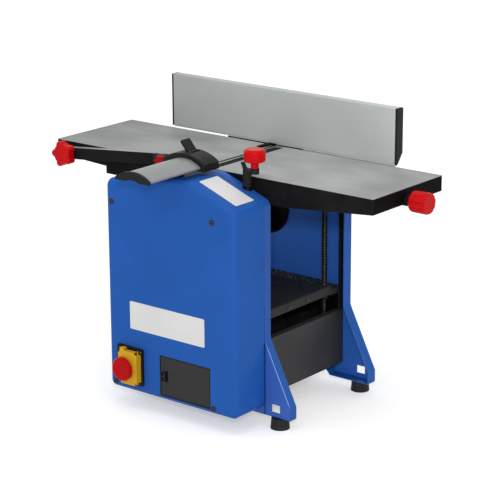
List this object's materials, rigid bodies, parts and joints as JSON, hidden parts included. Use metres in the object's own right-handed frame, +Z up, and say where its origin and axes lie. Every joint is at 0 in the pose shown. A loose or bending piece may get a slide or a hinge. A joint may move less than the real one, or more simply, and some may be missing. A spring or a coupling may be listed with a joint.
{
  "type": "benchtop planer",
  "caption": "Bench planer and thicknesser: two long tables over a cutter, tilting fence, bridge guard, rising bed below, boxy body on legs with rubber feet.",
  "frame": {"origin": "on the floor, in the middle of the four feet", "axes": "+X along the tables towards the infeed end, -Y towards the operator, +Z up"},
  "size_m": [0.782, 0.4968, 0.559],
  "materials": {
    "blue_paint": "gloss powder coat",
    "black_paint": "satin paint",
    "machined_table": "fine ground top, dark painted sides",
    "brushed_aluminium": "brushed",
    "steel": "ground",
    "cast_metal": "as cast",
    "dark_steel": "oiled",
    "red_plastic": "moulded",
    "yellow_plastic": "moulded",
    "green_plastic": "moulded",
    "black_plastic": "fine grain",
    "grey_plastic": "fine grain",
    "white_plate": "printed film, left bare",
    "foot_rubber": "moulded",
    "belt_rubber": "ribbed"
  },
  "bodies": {
    "frame": {"front_side_panel": "blue_paint", "rear_side_panel": "blue_paint", "base_shelf": "black_paint", "end_aprons": "black_paint", "rubber_feet": "foot_rubber", "front_cover": "blue_paint", "cover_screws": "dark_steel", "bare_plates": "white_plate", "storage_tray": "black_plastic", "switch_base": "black_plastic", "outfeed_table": "machined_table", "infeed_ways": "cast_metal", "outfeed_blocks": "cast_metal", "bearing_blocks": "cast_metal", "drive_belt": "belt_rubber", "motor_housing": "black_paint", "feed_gearbox": "black_paint", "feed_chains": "dark_steel", "rear_drive_cover": "black_plastic", "pawl_rod": "steel", "guide_columns": "steel", "lift_chain": "dark_steel", "fence_bracket": "black_paint", "dust_port": "black_plastic", "cable_gland": "black_plastic"},
    "infeed_table": {"infeed_table": "machined_table"},
    "depth_control": {"depth_screw": "steel", "depth_knob": "red_plastic"},
    "cross_nut": {"cross_nut": "steel"},
    "cutter": {"cutter_block": "steel", "planer_knives": "steel", "cutter_pulley": "cast_metal"},
    "motor_rotor": {"motor_rotor": "dark_steel", "motor_pulley": "cast_metal"},
    "infeed_roller": {"infeed_roller": "steel"},
    "outfeed_roller": {"outfeed_roller": "steel"},
    "feed_sprocket": {"feed_sprocket": "dark_steel"},
    "kickback_pawls": {"kickback_pawls": "dark_steel"},
    "thickness_table": {"thickness_table": "black_paint"},
    "front_lift_screw": {"front_lift_screw": "steel", "height_crank": "black_paint"},
    "crank_grip": {"crank_grip": "red_plastic"},
    "rear_lift_screw": {"rear_lift_screw": "steel"},
    "fence": {"fence_plate": "brushed_aluminium", "fence_end_caps": "black_plastic", "fence_carrier": "cast_metal"},
    "fence_lever": {"fence_lever": "red_plastic"},
    "guard_arm": {"guard_arm": "black_paint", "guard_saddle": "black_plastic"},
    "guard_bar": {"guard_bar": "brushed_aluminium", "guard_bar_cap": "black_plastic"},
    "guard_lever": {"guard_lever": "black_plastic"},
    "guard_pivot_knob": {"guard_pivot_knob": "red_plastic"},
    "guard_clamp_knob": {"guard_clamp_knob": "red_plastic"},
    "switch_flap": {"switch_flap": "yellow_plastic"},
    "stop_button": {"stop_button": "red_plastic"},
    "on_button": {"on_button": "green_plastic"},
    "off_button": {"off_button": "red_plastic"},
    "storage_door": {"storage_door": "grey_plastic"},
    "dust_cap": {"dust_cap": "black_plastic"}
  },
  "joints": [
    {"name": "motor_spin", "type": "hinge", "parent": "frame", "child": "motor_rotor", "pos_m": [0, 0, 0.104], "axis": [0, 1, 0], "continuous": true},
    {"name": "cutter_spin", "type": "hinge", "parent": "frame", "child": "cutter", "pos_m": [0, 0, 0.429], "axis": [0, 1, 0], "continuous": true},
    {"name": "infeed_roller_spin", "type": "hinge", "parent": "frame", "child": "infeed_roller", "pos_m": [0.046, 0, 0.414], "axis": [0, 1, 0], "continuous": true},
    {"name": "outfeed_roller_spin", "type": "hinge", "parent": "frame", "child": "outfeed_roller", "pos_m": [-0.046, 0, 0.414], "axis": [0, 1, 0], "continuous": true},
    {"name": "feed_sprocket_spin", "type": "hinge", "parent": "frame", "child": "feed_sprocket", "pos_m": [0.046, 0.13, 0.104], "axis": [0, 1, 0], "continuous": true},
    {"name": "thickness_table_lift", "type": "slide", "parent": "frame", "child": "thickness_table", "axis": [0, 0, 1], "range_m": [0, 0.194]},
    {"name": "front_screw_turn", "type": "hinge", "parent": "frame", "child": "front_lift_screw", "pos_m": [0.1045, -0.121, 0.2], "axis": [0, 0, 1], "continuous": true},
    {"name": "rear_screw_turn", "type": "hinge", "parent": "frame", "child": "rear_lift_screw", "pos_m": [0.1045, 0.108, 0.2], "axis": [0, 0, 1], "continuous": true},
    {"name": "crank_grip_spin", "type": "hinge", "parent": "front_lift_screw", "child": "crank_grip", "pos_m": [0.1215, -0.121, 0.48], "axis": [0, 0, 1], "continuous": true},
    {"name": "infeed_table_slide", "type": "slide", "parent": "frame", "child": "infeed_table", "axis": [0.9659, 0, -0.2588], "range_m": [0, 0.012]},
    {"name": "cross_nut_slide", "type": "slide", "parent": "frame", "child": "cross_nut", "axis": [0, 0, 1], "range_m": [-0.0032, 0]},
    {"name": "depth_knob_turn", "type": "hinge", "parent": "infeed_table", "child": "depth_control", "pos_m": [0.37, -0.006, 0.431], "axis": [1, 0, 0], "continuous": true},
    {"name": "fence_tilt", "type": "hinge", "parent": "frame", "child": "fence", "pos_m": [-0.098, 0.116, 0.455], "axis": [-1, 0, 0], "range_deg": [0, 45]},
    {"name": "fence_lever_turn", "type": "hinge", "parent": "frame", "child": "fence_lever", "pos_m": [-0.098, 0.116, 0.455], "axis": [1, 0, 0], "range_deg": [0, 15]},
    {"name": "guard_arm_swing", "type": "hinge", "parent": "frame", "child": "guard_arm", "pos_m": [-0.333, -0.119, 0.4335], "axis": [0, -1, 0], "range_deg": [0, 12]},
    {"name": "guard_pivot_knob_turn", "type": "hinge", "parent": "frame", "child": "guard_pivot_knob", "pos_m": [-0.333, -0.14, 0.4335], "axis": [0, -1, 0], "range_deg": [0, 360]},
    {"name": "guard_clamp_knob_turn", "type": "hinge", "parent": "guard_arm", "child": "guard_clamp_knob", "pos_m": [-0.084, -0.14, 0.45767], "axis": [0, -1, 0], "range_deg": [0, 360]},
    {"name": "guard_bar_slide", "type": "slide", "parent": "guard_arm", "child": "guard_bar", "axis": [0, 1, 0], "range_m": [0, 0.132]},
    {"name": "guard_lever_turn", "type": "hinge", "parent": "guard_arm", "child": "guard_lever", "pos_m": [-0.0037, -0.142, 0.4868], "axis": [0, 1, 0], "range_deg": [0, 100]},
    {"name": "switch_flap_lift", "type": "hinge", "parent": "frame", "child": "switch_flap", "pos_m": [-0.091, -0.224, 0.1175], "axis": [-1, 0, 0], "range_deg": [0, 100]},
    {"name": "stop_button_press", "type": "slide", "parent": "switch_flap", "child": "stop_button", "axis": [0, 1, 0], "range_m": [0, 0.003], "stiffness_N_per_m": 800},
    {"name": "on_button_press", "type": "slide", "parent": "frame", "child": "on_button", "axis": [0, 1, 0], "range_m": [0, 0.0025], "stiffness_N_per_m": 500},
    {"name": "off_button_press", "type": "slide", "parent": "frame", "child": "off_button", "axis": [0, 1, 0], "range_m": [0, 0.0025], "stiffness_N_per_m": 500},
    {"name": "storage_door_swing", "type": "hinge", "parent": "frame", "child": "storage_door", "pos_m": [0.0864, -0.2127, 0.0802], "axis": [0, 0, 1], "range_deg": [0, 110]},
    {"name": "dust_cap_pull", "type": "slide", "parent": "frame", "child": "dust_cap", "axis": [0, 1, 0], "range_m": [0, 0.06]},
    {"name": "kickback_pawl_swing", "type": "hinge", "parent": "frame", "child": "kickback_pawls", "pos_m": [-0.08, -0.006, 0.424], "axis": [0, -1, 0], "range_deg": [0, 50]}
  ],
  "couplings": [
    {"joint": "cutter_spin", "follows": "motor_spin", "ratio": 2.9259},
    {"joint": "outfeed_roller_spin", "follows": "infeed_roller_spin", "ratio": 1},
    {"joint": "feed_sprocket_spin", "follows": "infeed_roller_spin", "ratio": 1.4839},
    {"joint": "front_screw_turn", "follows": "thickness_table_lift", "rad_per_m": -1570.8},
    {"joint": "rear_screw_turn", "follows": "thickness_table_lift", "rad_per_m": -1570.8},
    {"joint": "cross_nut_slide", "follows": "infeed_table_slide", "ratio": -0.25882},
    {"joint": "depth_knob_turn", "follows": "infeed_table_slide", "rad_per_m": 3034.5}
  ]
}
